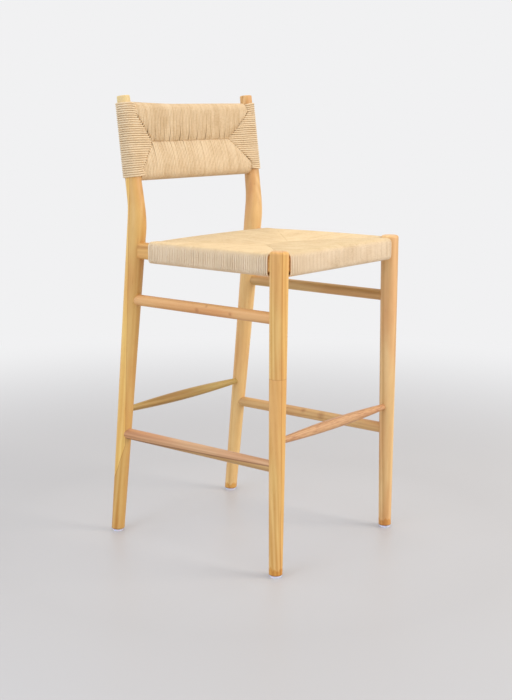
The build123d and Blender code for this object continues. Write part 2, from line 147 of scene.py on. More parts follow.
def oiled_hardwood(name, turn, pith_mm, ring_mm, light, dark, soak_mm=0.0, joint_mm=0.0,
                   pale_mm=0.0, fleck_share=0.0, sapwood=None, knots=()):
    """Straight-grained hardwood under satin oil. Growth rings are cylinders round a pith outside
    the piece, so a turned surface shows soft long bands and, where it tapers, arches. Pores are
    drawn a little coarser than the real fifth of a millimetre, so that they show. A foot's end
    grain drinks oil and is amber up to soak_mm above the floor, and the wood is darker at the very
    bottom. A finger joint lies at joint_mm, and the board below it has its grain shifted and
    slanted. The wood is paler above pale_mm. Heartwood has its own tint, and ends at the planes
    where sapwood starts in a border line. Knots are small, brown and soft."""
    material, tree, surface = new_material(name)
    place = add_node(tree, "ShaderNodeTexCoord", out="Object")
    height = add_node(tree, "ShaderNodeSeparateXYZ", {}, {"Vector": place}, "Z")
    log = add_node(tree, "ShaderNodeMapping",
                   {"Rotation": turn, "Location": [offset * MM for offset in pith_mm]},
                   {"Vector": place})
    if joint_mm:
        below = add_node(tree, "ShaderNodeMath", {"operation": "LESS_THAN", 1: joint_mm * MM},
                         {0: height})
        shift = add_node(tree, "ShaderNodeVectorMath",
                         {"operation": "MULTIPLY_ADD", 1: BOARD_SLANT, 2: BOARD_SHIFT}, {0: height})
        log = add_node(tree, "ShaderNodeVectorMath", {"operation": "MULTIPLY_ADD"},
                       {0: below, 1: shift, 2: log})
    drawn_out = add_node(tree, "ShaderNodeMapping", {"Scale": GRAIN_STRETCH}, {"Vector": log})
    fibrous = add_node(tree, "ShaderNodeMapping", {"Scale": FIBRE_STRETCH}, {"Vector": log})
    sway = add_node(tree, "ShaderNodeTexNoise", {"Scale": 1 / SWAY_SIZE, "Detail": 2.0},
                    {"Vector": drawn_out}, "Color")
    sway = add_node(tree, "ShaderNodeVectorMath", {"operation": "SUBTRACT", 1: (0.5, 0.5, 0.5)},
                    {0: sway})
    sway = add_node(tree, "ShaderNodeVectorMath", {"operation": "SCALE", "Scale": SWAY_REACH},
                    {0: sway})
    swayed = add_node(tree, "ShaderNodeVectorMath", {"operation": "ADD"}, {0: log, 1: sway})
    rings = add_node(tree, "ShaderNodeTexWave",
                     {"wave_type": "RINGS", "rings_direction": "Z", "wave_profile": "SIN",
                      "Scale": WAVE_REPEAT / (ring_mm * MM), "Distortion": 0.0},
                     {"Vector": swayed}, "Fac")
    fading = add_node(tree, "ShaderNodeTexNoise", {"Scale": 1 / RING_FADE_SIZE, "Detail": 1.0},
                      {"Vector": drawn_out})
    fading = add_node(tree, "ShaderNodeMapRange",
                      {"From Min": 0.36, "From Max": 0.64, "To Min": 0.15, "To Max": 0.85},
                      {"Value": fading})
    ringed = add_node(tree, "ShaderNodeMath", {"operation": "MULTIPLY"}, {0: rings, 1: fading})
    streaks = add_node(tree, "ShaderNodeTexNoise",
                       {"Scale": 1 / STREAK_WIDTH, "Detail": 3.0, "Roughness": 0.55},
                       {"Vector": fibrous})
    pores = add_node(tree, "ShaderNodeTexNoise",
                     {"Scale": 1 / PORE_WIDTH, "Detail": 3.0, "Roughness": 0.65},
                     {"Vector": fibrous})
    grain = add_node(tree, "ShaderNodeMath", {"operation": "MULTIPLY_ADD", 1: 0.75, 2: -0.3},
                     {0: streaks})
    grain = add_node(tree, "ShaderNodeMath", {"operation": "ADD", "use_clamp": True},
                     {0: grain, 1: ringed})
    colour = add_node(tree, "ShaderNodeValToRGB", {"stops": [(0.0, light), (1.0, dark)]},
                      {"Fac": grain})
    if pale_mm:
        pale = add_node(tree, "ShaderNodeMapRange",
                        {"From Min": pale_mm * MM - PALE_EDGE,
                         "From Max": pale_mm * MM + PALE_EDGE}, {"Value": height})
        colour = add_node(tree, "ShaderNodeMix", {"data_type": "RGBA", 7: linear(PALE_WOOD)},
                          {0: pale, 6: colour}, 2)
    mottled = add_node(tree, "ShaderNodeMapping", {"Scale": MOTTLE_STRETCH}, {"Vector": log})
    flush = add_node(tree, "ShaderNodeTexNoise", {"Scale": 1 / MOTTLE_SIZE, "Detail": 2.0},
                     {"Vector": mottled})
    flush = add_node(tree, "ShaderNodeMapRange", {"From Min": 0.42, "From Max": 0.66},
                     {"Value": flush})
    dark_pores = add_node(tree, "ShaderNodeMapRange",
                          {"From Min": 0.6, "From Max": 0.74, "To Max": 0.5}, {"Value": pores})
    # Darker within a few millimetres of the floor.
    foot_darkening = add_node(tree, "ShaderNodeMapRange",
                     {"From Min": FOOT_DARKENING_FULL, "From Max": FOOT_DARKENING_FROM,
                      "To Min": 0.75, "To Max": 0.0}, {"Value": height})
    tints = [(flush, FLUSH_TINT), (dark_pores, PORE_TINT), (foot_darkening, FOOT_DARKENING_TINT)]
    if fleck_share:
        short = add_node(tree, "ShaderNodeMapping", {"Scale": FLECK_STRETCH}, {"Vector": log})
        flecks = add_node(tree, "ShaderNodeTexNoise", {"Scale": 1 / FLECK_WIDTH, "Detail": 2.0},
                          {"Vector": short})
        flecks = add_node(tree, "ShaderNodeMapRange",
                          {"From Min": 0.46, "From Max": 0.68, "To Max": fleck_share},
                          {"Value": flecks})
        tints.append((flecks, FLECK_TINT))
    if sapwood:
        wander = add_node(tree, "ShaderNodeMath",
                          {"operation": "MULTIPLY_ADD", 1: SAPWOOD_WANDER, 2: -SAPWOOD_WANDER / 2},
                          {0: streaks})
        kept = None
        for normal, offset_mm in sapwood["planes"]:
            reach = add_node(tree, "ShaderNodeVectorMath", {"operation": "DOT_PRODUCT", 1: normal},
                             {0: place}, "Value")
            reach = add_node(tree, "ShaderNodeMath", {"operation": "ADD"}, {0: reach, 1: wander})
            step = add_node(tree, "ShaderNodeMapRange",
                            {"From Min": (offset_mm - sapwood["soft_mm"]) * MM,
                             "From Max": (offset_mm + sapwood["soft_mm"]) * MM},
                            {"Value": reach})
            if kept is not None:
                step = add_node(tree, "ShaderNodeMath", {"operation": "MULTIPLY"},
                                {0: kept, 1: step})
            kept = step
        heart = add_node(tree, "ShaderNodeMath", {"operation": "SUBTRACT", 0: 1.0}, {1: kept})
        border = add_node(tree, "ShaderNodeMath", {"operation": "MULTIPLY"}, {0: kept, 1: heart})
        border = add_node(tree, "ShaderNodeMath", {"operation": "MULTIPLY", 1: 2.6}, {0: border})
        tints += [(heart, sapwood["heart"]), (border, sapwood["border"])]
    if soak_mm:
        ragged = add_node(tree, "ShaderNodeMath",
                          {"operation": "MULTIPLY_ADD", 1: SOAK_WANDER, 2: -SOAK_WANDER / 2},
                          {0: streaks})
        ragged = add_node(tree, "ShaderNodeMath", {"operation": "ADD"}, {0: height, 1: ragged})
        soaked = add_node(tree, "ShaderNodeMapRange",
                          {"From Min": soak_mm * MM, "From Max": soak_mm * MM + SOAK_EDGE,
                           "To Min": 0.8, "To Max": 0.0}, {"Value": ragged})
        tints.append((soaked, SOAK_TINT))
    if joint_mm:
        off_joint = add_node(tree, "ShaderNodeMath", {"operation": "SUBTRACT", 1: joint_mm * MM},
                             {0: height})
        off_joint = add_node(tree, "ShaderNodeMath", {"operation": "ABSOLUTE"}, {0: off_joint})
        glue_line = add_node(tree, "ShaderNodeMapRange",
                             {"From Min": GLUE_FULL, "From Max": GLUE_FROM,
                              "To Min": 0.4, "To Max": 0.0}, {"Value": off_joint})
        tints.append((glue_line, GLUE_TINT))
    for spot_mm, radius_mm in knots:
        away = add_node(tree, "ShaderNodeVectorMath",
                        {"operation": "DISTANCE", 1: [value * MM for value in spot_mm]},
                        {0: place}, "Value")
        knot = add_node(tree, "ShaderNodeMapRange",
                        {"From Max": radius_mm * MM, "To Min": 0.5, "To Max": 0.0}, {"Value": away})
        tints.append((knot, KNOT_TINT))
    for amount, tint in tints:
        colour = add_node(tree, "ShaderNodeMix",
                          {"data_type": "RGBA", "blend_type": "MULTIPLY", 7: linear(tint)},
                          {0: amount, 6: colour}, 2)
    smoothest, roughest = SATIN_ROUGHNESS
    roughness = add_node(tree, "ShaderNodeMapRange", {"To Min": smoothest, "To Max": roughest},
                         {"Value": pores})
    bump = add_node(tree, "ShaderNodeBump", {"Strength": 0.15, "Distance": PORE_DEPTH},
                    {"Height": pores})
    shader = add_node(tree, "ShaderNodeBsdfPrincipled",
                      {"IOR": SATIN_IOR, "Specular IOR Level": SATIN_SPECULAR},
                      {"Base Color": colour, "Roughness": roughness, "Normal": bump})
    tree.links.new(shader, surface)
    return material


def finish_node(node, material):
    """Puts one material on a carried-over piece."""
    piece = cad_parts[node]
    piece.data.materials.clear()
    piece.data.materials.append(material)


FRONT_LEG_LEAN = math.radians(0.5)
finish_node("front_right_leg", oiled_hardwood(
    "front_right_leg_oiled_hardwood", (0.01, FRONT_LEG_LEAN, 0.4),
    (232.0, 262.0, 0.0), 11.0, "#E9BD73", "#D09C4F",
    soak_mm=17.0, joint_mm=416.0,
    sapwood={"planes": [((-0.625, 0.781, 0.0), -58.6)],
             "heart": "#FFF8E7", "border": "#C8A070", "soft_mm": 0.8},
    knots=[((-222.0, -227.5, 37.0), 3.0), ((-196.0, -242.5, 585.0), 3.2)]))
finish_node("front_left_leg", oiled_hardwood(
    "front_left_leg_oiled_hardwood", (-0.008, -FRONT_LEG_LEAN, 0.2),
    (-150.0, 300.0, 140.0), 12.0, "#ECC286", "#CFA163",
    soak_mm=17.0))


# Rear legs
# Two legs sawn from straight boards and turned, bent back above the seat to carry the woven back.
# The same oiled hardwood, its grain running straight through the bend. The right one has a strip
# of paler sapwood up its outside and a pale top end, and the left one is redder above the seat.

REAR_LEG_LEAN = math.radians(6.0)
finish_node("rear_right_leg", oiled_hardwood(
    "rear_right_leg_oiled_hardwood", (-REAR_LEG_LEAN, 0.0, 0.3),
    (240.0, -130.0, 60.0), 13.0, "#F0C572", "#D8A24A",
    pale_mm=950.0,
    sapwood={"planes": [((-0.625, 0.781, 0.038), 290.4), ((-0.6, 0.733, 0.321), 334.2)],
             "heart": "#E9E1E2", "border": "#C8A070", "soft_mm": 0.8},
    knots=[((-216.0, 222.0, 27.0), 2.6)]))
finish_node("rear_left_leg", oiled_hardwood(
    "rear_left_leg_oiled_hardwood", (-REAR_LEG_LEAN, 0.0, -0.2),
    (-160.0, -110.0, 220.0), 11.0, "#EDC380", "#CB9852",
    soak_mm=16.0,
    sapwood={"planes": [((0.0, 0.0, -1.0), -690.0)],
             "heart": "#F1EAE7", "border": "#FFFFFF", "soft_mm": 60.0},
    knots=[((190.0, 150.0, 765.0), 4.0), ((196.0, 141.0, 722.0), 3.0)]))


# Seat rails
# Four upright rails of the same oiled hardwood with rounded edges, let into the legs and into each
# other. Only the short rear ends of the side rails show, between the cord and the rear legs.

LYING_ALONG_X = (0.0, math.pi / 2, 0.0)
LYING_ALONG_Y = (math.pi / 2, 0.0, 0.0)
SEAT_RAIL_BOARDS = {
    "seat_right_rail": (LYING_ALONG_Y, (170.0, -600.0, 0.0)),
    "seat_left_rail": (LYING_ALONG_Y, (-220.0, -610.0, 90.0)),
    "seat_front_rail": (LYING_ALONG_X, (-610.0, 200.0, 30.0)),
    "seat_rear_rail": (LYING_ALONG_X, (-600.0, -70.0, 70.0)),
}
for node, (turn, pith) in SEAT_RAIL_BOARDS.items():
    finish_node(node, oiled_hardwood(
        node + "_oiled_hardwood", turn, pith, 9.0, "#E1AE65", "#BC8341"))


# Side stretchers
# Four plain dowels of oiled hardwood with round tenons glued into the legs. Each was cut from
# another board, so the upper right one is salmon, the lower right one pinkish brown with a dark
# line where heartwood meets sapwood, and the left ones are closer to the legs. The pink of the
# lower right one's upper half is partly a painted reflection of cool light on its top.

SIDE_STRETCHER_BOARDS = {
    "upper_right_stretcher": {
        "pith_mm": (236.0, -508.0, 0.0), "ring_mm": 9.0, "light": "#E2AD71", "dark": "#C98C4B",
        "knots": [((-210.9, -20.7, 533.3), 7.0), ((-208.0, -45.0, 543.8), 4.5),
                  ((-211.1, -110.7, 534.3), 6.0)],
    },
    "lower_right_stretcher": {
        # Partly painted reflection: the pink kept on the upper half stands for cool light reflected
        # off the top; the yellower band below and its dark border line are the wood's own.
        "pith_mm": (224.0, -216.0, 40.0), "ring_mm": 8.0, "light": "#D5A77A", "dark": "#B08054",
        "sapwood": {"planes": [((0.332, 0.026, 0.943), 145.1)],
                    "heart": "#F7FCE1", "border": "#8A5A38", "soft_mm": 1.8},
    },
    "upper_left_stretcher": {
        "pith_mm": (-236.0, -500.0, 120.0), "ring_mm": 9.0, "light": "#DAB376", "dark": "#B68E51",
    },
    "lower_left_stretcher": {
        "pith_mm": (-228.0, -208.0, 200.0), "ring_mm": 8.0, "light": "#D9AE71", "dark": "#C4945B",
        "knots": [((191.0, -51.7, 235.9), 13.0), ((191.0, 0.7, 241.0), 9.0)],
    },
}
for node, board in SIDE_STRETCHER_BOARDS.items():
    finish_node(node, oiled_hardwood(
        node + "_oiled_hardwood", LYING_ALONG_Y, **board))


# Front footrest and rear stretcher
# Two turned spindles of oiled hardwood, thick in the middle and thin where they enter the legs. The
# taper cuts across the rings, so both show long arches. The footrest is flecked as well, and the
# rear one is a browner piece.

finish_node("front_footrest", oiled_hardwood(
    "front_footrest_oiled_hardwood", LYING_ALONG_X,
    (-262.0, 248.0, 0.0), 6.0, "#D6A674", "#A66C42", fleck_share=0.42))
finish_node("rear_stretcher", oiled_hardwood(
    "rear_stretcher_oiled_hardwood", LYING_ALONG_X,
    (-258.0, -232.0, 60.0), 7.0, "#BC9C57", "#997535"))


# Back rails
# Two dowels of the same oiled hardwood, with tenons glued into the posts, hidden inside the woven
# back.

BACK_RAIL_BOARDS = {
    "back_top_rail": (-900.0, -120.0, 40.0),
    "back_bottom_rail": (-900.0, -120.0, 150.0),
}
for node, pith in BACK_RAIL_BOARDS.items():
    finish_node(node, oiled_hardwood(
        node + "_oiled_hardwood", LYING_ALONG_X, pith, 9.0, "#E6B673", "#C08A4A"))


# Seat cord
# One long twisted paper cord, wound round the four seat rails in the envelope pattern: each turn
# comes in over its rail, dives at the mitre or the seam, and goes back out underneath. Its upward
# faces carry a painted warm tint that stands for the warm light from above.

CORD = 4.6 * MM
CORD_PITCH = 4.75 * MM
CORD_SIDES = 6
CORD_LAY = 10.5 * MM
CORD_STRANDS = 3
CORD_RELIEF = 0.4 * MM
DIAGONAL_REPEAT = 2 * WAVE_REPEAT
PAPER_FIBRE_SIZE = 2.381 * MM
PAPER_PATCH_SIZE = 33.33 * MM
WELD = 0.02 * MM
DIVE_FROM = 0.7
DIVE_BEND = ((0.2, 0.3), (0.0, 1.2))
HIDDEN_LEAN = -0.6
LEAN_CURVE = 1.5


def paper_cord(name, pale, middle, dark, painted_top_light):
    """Kraft paper twisted into cord: pale straw, matt, with painted shade that makes the spiral
    groove darker than the crests, and a little difference in tone from turn to turn. What faces up
    is multiplied by a painted warm light tint, given as white where none is painted."""
    material, tree, surface = new_material(name)
    along_cord = add_node(tree, "ShaderNodeUVMap", {"uv_map": "cord"})
    spiral = add_node(tree, "ShaderNodeMapping",
                      {"Scale": (DIAGONAL_REPEAT * CORD_STRANDS / CORD_LAY,
                                 DIAGONAL_REPEAT * CORD_STRANDS, 0.0)},
                      {"Vector": along_cord})
    twist = add_node(tree, "ShaderNodeTexWave",
                     {"wave_type": "BANDS", "bands_direction": "DIAGONAL", "wave_profile": "SIN",
                      "Scale": 1.0, "Distortion": 0.5, "Detail": 1.0},
                     {"Vector": spiral}, "Fac")
    place = add_node(tree, "ShaderNodeTexCoord", out="Object")
    fibre = add_node(tree, "ShaderNodeTexNoise",
                     {"Scale": 1 / PAPER_FIBRE_SIZE, "Detail": 3.0, "Roughness": 0.6},
                     {"Vector": place})
    patch = add_node(tree, "ShaderNodeTexNoise", {"Scale": 1 / PAPER_PATCH_SIZE, "Detail": 2.0},
                     {"Vector": place})
    turn_tone = add_node(tree, "ShaderNodeAttribute", {"attribute_name": "turn_tone"}, out="Fac")
    tone = add_node(tree, "ShaderNodeMath", {"operation": "MULTIPLY_ADD", 1: 0.22},
                    {0: turn_tone, 2: fibre})
    tone = add_node(tree, "ShaderNodeMath", {"operation": "MULTIPLY_ADD", 1: 0.5},
                    {0: patch, 2: tone})
    # Painted shade: the spiral groove is toned darker than the crests.
    tone = add_node(tree, "ShaderNodeMath", {"operation": "MULTIPLY_ADD", 1: -0.24},
                    {0: twist, 2: tone})
    tone = add_node(tree, "ShaderNodeMapRange", {"From Min": 0.3, "From Max": 0.95},
                    {"Value": tone})
    colour = add_node(tree, "ShaderNodeValToRGB",
                      {"stops": [(0.0, pale), (0.5, middle), (1.0, dark)]},
                      {"Fac": tone})
    # Painted light: upward faces are tinted warmer, for the warm light from above.
    facing = add_node(tree, "ShaderNodeTexCoord", out="Normal")
    upward = add_node(tree, "ShaderNodeSeparateXYZ", {}, {"Vector": facing}, "Z")
    upward = add_node(tree, "ShaderNodeMapRange", {"From Min": 0.2, "From Max": 0.8},
                      {"Value": upward})
    colour = add_node(tree, "ShaderNodeMix",
                      {"data_type": "RGBA", "blend_type": "MULTIPLY", 7: linear(painted_top_light)},
                      {0: upward, 6: colour}, 2)
    relief = add_node(tree, "ShaderNodeMath", {"operation": "MULTIPLY_ADD", 1: 0.25},
                      {0: fibre, 2: twist})
    bump = add_node(tree, "ShaderNodeBump", {"Strength": 0.5, "Distance": CORD_RELIEF},
                    {"Height": relief})
    shader = add_node(tree, "ShaderNodeBsdfPrincipled",
                      {"Roughness": 0.72, "IOR": 1.5, "Specular IOR Level": 0.25},
                      {"Base Color": colour, "Normal": bump})
    tree.links.new(shader, surface)
    return material


def start_weave():
    """An empty mesh for turns of cord, with its map along the cord and its tone per turn."""
    weave = bmesh.new()
    weave.loops.layers.uv.new("cord")
    weave.verts.layers.float.new("turn_tone")
    return weave


def lay_turn(weave, path, across, tone, swell):
    """One turn of cord along a path that lies in a plane square to across. A grid is rolled up
    round the path, so the map runs along the cord in metres and once round it."""
    uv = weave.loops.layers.uv["cord"]
    tone_layer = weave.verts.layers.float["turn_tone"]
    rings = len(path)
    radius = swell * CORD / 2
    lengths = [0.0]
    for before, after in zip(path, path[1:]):
        lengths.append(lengths[-1] + (after - before).length)
    grid = bmesh.ops.create_grid(
        weave, x_segments=CORD_SIDES, y_segments=rings - 1, size=1.0)["verts"]
    spots = {}
    for index, vert in enumerate(grid):
        row, column = divmod(index, CORD_SIDES + 1)
        run = path[min(row + 1, rings - 1)] - path[max(row - 1, 0)]
        outward = run.cross(across).normalized()
        turn = math.tau * column / CORD_SIDES
        vert.co = path[row] + (across * math.cos(turn) + outward * math.sin(turn)) * radius
        vert[tone_layer] = tone
        spots[vert] = (lengths[row], column / CORD_SIDES)
    for face in {face for vert in grid for face in vert.link_faces}:
        face.smooth = True
        for loop in face.loops:
            loop[uv].uv = spots[loop.vert]
    bmesh.ops.remove_doubles(weave, verts=grid, dist=WELD)


def finish_weave(weave, name, node, material):
    """Closes the cord's ends and makes the piece that stands for a weave node."""
    bmesh.ops.holes_fill(weave, edges=weave.edges, sides=CORD_SIDES)
    bmesh.ops.recalc_face_normals(weave, faces=weave.faces)
    mesh = bpy.data.meshes.new(name)
    weave.to_mesh(mesh)
    weave.free()
    piece = bpy.data.objects.new(name, mesh)
    bpy.context.scene.collection.objects.link(piece)
    mesh.materials.append(material)
    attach(piece, "root")
    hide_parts(node)


def arc(centre, radius, start, end, steps):
    """Points on an arc in the plane of a turn, from one angle to another in degrees."""
    points = []
    for step in range(steps + 1):
        angle = math.radians(start + (end - start) * step / steps)
        points.append((centre[0] + radius * math.cos(angle), centre[1] + radius * math.sin(angle)))
    return points


def run_in(reach, height_at, run_step, dive):
    """Points of one layer from its rail to where the cord dives between the layers. The bend is
    given in shares of the dive: how far short of the reach, and how far down."""
    steps = max(2, round(reach / run_step))
    points = []
    for step in range(1, steps + 1):
        depth = (reach - DIVE_FROM * dive) * step / steps
        points.append((depth, height_at(depth)))
    for short, down in DIVE_BEND:
        points.append((reach - short * dive, height_at(reach) - down * dive))
    return points


def lean(points, reach, sideways, upward, curve=LEAN_CURVE):
    """A hand-laid turn: it leans to one side towards its dive, and bows a little up or down. Its
    two layers lean opposite ways, so that no gap goes through both. A higher curve leans later."""
    leaning = []
    for depth, height in points:
        share = min(max(depth / reach, 0.0), 1.0)
        bow = math.copysign(upward * math.sin(math.pi * share), height)
        aside = sideways if height > 0 else HIDDEN_LEAN * sideways
        leaning.append((depth, height + bow, aside * share ** curve))
    return leaning


def turn_places(start, end):
    """Evenly spaced places for turns of cord that fill a stretch of rail."""
    count = round((end - start) / CORD_PITCH)
    return [start + (end - start) * (turn + 0.5) / count for turn in range(count)]


weave_low, weave_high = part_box("seat_weave")
front_rail_low, front_rail_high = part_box("seat_front_rail")
rear_rail_low, rear_rail_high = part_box("seat_rear_rail")
left_rail_low, left_rail_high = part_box("seat_left_rail")
rail_middle_z = (left_rail_low.z + left_rail_high.z) / 2
half_width = (left_rail_low.x + left_rail_high.x) / 2
front_rail_y = (front_rail_low.y + front_rail_high.y) / 2
rear_rail_y = (rear_rail_low.y + rear_rail_high.y) / 2
seam_y = (front_rail_y + rear_rail_y) / 2
half_depth = (rear_rail_y - front_rail_y) / 2

TURN_HALF_WIDTH = weave_high.x - half_width - CORD / 2
TURN_HALF_HEIGHT = (weave_high.z - weave_low.z) / 2 - CORD / 2
TURN_CORNER = 8.0 * MM
TURN_CORNER_STEPS = 3
TURN_SLACK = {"front": 3.6 * MM, "rear": 1.6 * MM, "right": 2.2 * MM, "left": 1.6 * MM}
REAR_BULGE = 2.2 * MM
LEFT_REAR_DROP = 3.6 * MM
LEFT_REAR_CURVE = 3
LEG_HUG = 2.6 * MM
LEG_HUG_STRETCH = 5 * CORD_PITCH
SEAT_SEAM_HALF = 12.9 * MM
SEAT_FALL = 1.35
LEG_NOTCH = 19.9 * MM
CORNER_REACH = 16.0 * MM
SEAT_RUN_STEP = 34.0 * MM
SEAT_DIVE = 3.2 * MM
SEAT_PLAY_MM = {"reach": (-1.2, 0.6), "lean": (-0.5, 0.5),
                "bow": (-0.2, 0.3), "shift": (-0.2, 0.2)}
SEAT_TONES = (-0.3, 0.3)
SEAT_SWELL = (0.91, 0.95)

rng = random.Random(481)


def seat_height(depth):
    """The middle of the cord above the rail's middle, falling from the rail to the seam."""
    share = min(max(depth / half_depth, 0.0), 1.0)
    return TURN_HALF_HEIGHT - (TURN_HALF_HEIGHT - SEAT_SEAM_HALF) * share ** SEAT_FALL


def seat_turn(reach, slack, lift):
    """One turn round a seat rail, as (depth in from the rail, height above its middle). It hangs
    a little slack under the rail, and may stand higher or lower over it."""
    inside = TURN_CORNER - TURN_HALF_WIDTH
    level = TURN_HALF_HEIGHT - TURN_CORNER
    layer = run_in(reach, seat_height, SEAT_RUN_STEP, SEAT_DIVE)
    upper = [(depth, height + lift * (1 - depth / reach)) for depth, height in layer]
    over = arc((inside, level + lift), TURN_CORNER, 90, 180, TURN_CORNER_STEPS)
    under = arc((inside, -level - slack), TURN_CORNER, 180, 270, TURN_CORNER_STEPS)
    return upper[::-1] + over + under + [(depth, -height - slack) for depth, height in layer]


seat_cord = start_weave()
front_end = half_width - LEG_NOTCH
side_start = front_rail_y + LEG_NOTCH
side_end = weave_high.y
rear_end = half_width - CORNER_REACH
SEAT_PANELS = {
    "front": (Vector((0, front_rail_y)), Vector((0, 1)), Vector((1, 0)), -front_end, front_end),
    "rear": (Vector((0, rear_rail_y)), Vector((0, -1)), Vector((1, 0)), -rear_end, rear_end),
    "right": (Vector((-half_width, 0)), Vector((1, 0)), Vector((0, 1)), side_start, side_end),
    "left": (Vector((half_width, 0)), Vector((-1, 0)), Vector((0, 1)), side_start, side_end),
}
for panel, (rail, inward, along, start, end) in SEAT_PANELS.items():
    for spot in turn_places(start, end):
        place = (spot - start) / (end - start)
        lift = 0.0
        if panel in ("front", "rear"):
            reach = min(half_width - abs(spot), half_depth)
        else:
            reach = max(half_depth - abs(spot - seam_y), CORNER_REACH)
        if panel == "rear":
            lift = REAR_BULGE * math.sqrt(math.sin(math.pi * place))
        elif panel == "left":
            lift = -LEFT_REAR_DROP * place ** LEFT_REAR_CURVE
        reach += rng.uniform(*SEAT_PLAY_MM["reach"]) * MM
        hug = 0.0
        if panel != "rear":
            hug = -LEG_HUG * max(0.0, 1 - (spot - start) / LEG_HUG_STRETCH)
        if panel == "front":
            hug += LEG_HUG * max(0.0, 1 - (end - spot) / LEG_HUG_STRETCH)
        turn = lean(seat_turn(reach, TURN_SLACK[panel], lift), reach,
                    rng.uniform(*SEAT_PLAY_MM["lean"]) * MM, rng.uniform(*SEAT_PLAY_MM["bow"]) * MM)
        shift = rng.uniform(*SEAT_PLAY_MM["shift"]) * MM
        path = []
        for depth, height, side in turn:
            side += hug * min(max(-depth / TURN_HALF_WIDTH, 0.0), 1.0)
            plan = rail + inward * depth + along * (spot + shift + side)
            path.append(Vector((plan.x, plan.y, rail_middle_z + height)))
        lay_turn(seat_cord, path, along.to_3d(), rng.uniform(*SEAT_TONES),
                 rng.uniform(*SEAT_SWELL))
# The last colour is painted warm light on the cord's upward faces.
finish_weave(seat_cord, "seat_cord", "seat_weave", paper_cord(
    "seat_twisted_paper_cord", "#F3DDBD", "#EAD0AC", "#D4B68E", "#F6F3E2"))


# Back cord
# Paper cord from a slightly yellower coil, wound round both posts at the sides and round the two
# hidden rails at top and bottom, with mitres at the corners and one long seam across the middle.

top_rail_low, top_rail_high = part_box("back_top_rail")
bottom_rail_low, bottom_rail_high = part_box("back_bottom_rail")
top_rail_middle = (top_rail_low + top_rail_high) / 2
bottom_rail_middle = (bottom_rail_low + bottom_rail_high) / 2
back_middle = (top_rail_middle + bottom_rail_middle) / 2
back_up = (top_rail_middle - bottom_rail_middle).normalized()
back_front = back_up.cross(Vector((1, 0, 0)))
back_front = -back_front if back_front.y > 0 else back_front
rail_half_span = (top_rail_middle - bottom_rail_middle).length / 2

# Where a value has keys, -1 is the right post or the lower panel, and 1 the left or the upper one.
TENON_PAST_POST = 3.0 * MM
POST_RADIUS_BOTTOM = 16.8 * MM
POST_RADIUS_TOP = 14.4 * MM
CORD_SEAT = 0.3 * MM + CORD / 2
RAIL_TURN = (top_rail_high.z - top_rail_low.z) / 2 + CORD_SEAT
RAIL_TURN_STEPS = 6
POST_TURN_STEPS = 8
BACK_SEAM_HALF = 3.6 * MM
BACK_FALL = 2.2
POST_FALL = 1.7
MITRE_START = 25.0 * MM
MITRE_CLEAR = 17.0 * MM
MITRE_LENGTH = {-1: 66.0 * MM, 1: 83.0 * MM}
MITRE_GROOVE = {-1: 1.3 * MM, 1: 0.3 * MM}
MITRE_FAN = 2.2 * MM
GATHER = {-1: 1.1 * MM, 1: 1.9 * MM}
GATHER_PULL = (0.2, 1.0)
# Painted shade: the upper panel's turns are toned darker than the lower panel's, for the shade on
# its downward slope into the seam.
BACK_PANEL_SHADE_TONE = {-1: 0.1, 1: 0.55}
PANEL_LEAN_CURVE = 2.4
BOTTOM_HANG = 1.6 * MM
POST_WRAP_LIFT = 8.0 * MM
POST_WRAP_OVER = {-1: 3.1 * MM, 1: -0.9 * MM}
BACK_RUN_STEP = 17.0 * MM
POST_DIVE = 4.5 * MM
BACK_DIVE = 5.0 * MM
CORNER_LIFT = 5.0 * MM
CORNER_LIFT_FROM = 0.3
CORNER_LIFT_CURVE = 1.3
WRAP_PLAY_MM = {"reach": (-0.6, 1.6), "lean": (-0.2, 0.2),
                "bow": (-0.1, 0.3), "shift": (-0.08, 0.08)}
WRAP_TONES = (-0.3, 0.3)
WRAP_SWELL = (0.98, 1.02)
PANEL_PLAY_MM = {"mitre": (-1.2, 0.8), "seam": (-0.6, 0.5), "group": (9.0, 30.0),
                 "lean": (-0.8, 0.8), "bow": (-0.2, 0.5), "shift": (-0.2, 0.2)}
PANEL_TONES = (-0.5, 0.5)
PANEL_SWELL = (1.06, 1.13)

edge_half_span = rail_half_span + RAIL_TURN + CORD / 2
post_x_top = top_rail_high.x - TENON_PAST_POST
post_x_bottom = bottom_rail_high.x - TENON_PAST_POST


def at_level(low, high, level):
    """A post's size or place at a level on the back, given at the two rails."""
    return low + (high - low) * (level + rail_half_span) / (2 * rail_half_span)


def mitre_slope(side):
    """How fast a mitre runs in from a post for each millimetre away from the edge."""
    return (MITRE_LENGTH[side] - MITRE_CLEAR) / (edge_half_span - MITRE_START)


def post_turn(side, reach, radius):
    """One turn round a post, as (depth in from the post, distance in front of its middle)."""

    def front_at(depth):
        share = min(depth / MITRE_LENGTH[side], 1.0)
        return radius - (radius - BACK_SEAM_HALF) * share ** POST_FALL

    layer = run_in(reach, front_at, BACK_RUN_STEP, POST_DIVE)
    round_post = arc((0.0, 0.0), radius, 90, 270, POST_TURN_STEPS)
    return layer[::-1] + round_post + [(depth, -front) for depth, front in layer]


def rail_turn(reach, lift):
    """One turn round a back rail, as (depth in from the rail, distance in front of its middle)."""

    def front_at(depth):
        share = min(depth / rail_half_span, 1.0)
        return RAIL_TURN - (RAIL_TURN - BACK_SEAM_HALF) * share ** BACK_FALL

    layer = run_in(reach, front_at, BACK_RUN_STEP, BACK_DIVE)
    over_rail = [(depth - lift * (1 - abs(front) / RAIL_TURN), front)
                 for depth, front in arc((0.0, 0.0), RAIL_TURN, 90, 270, RAIL_TURN_STEPS)]
    return layer[::-1] + over_rail + [(depth, -front) for depth, front in layer]


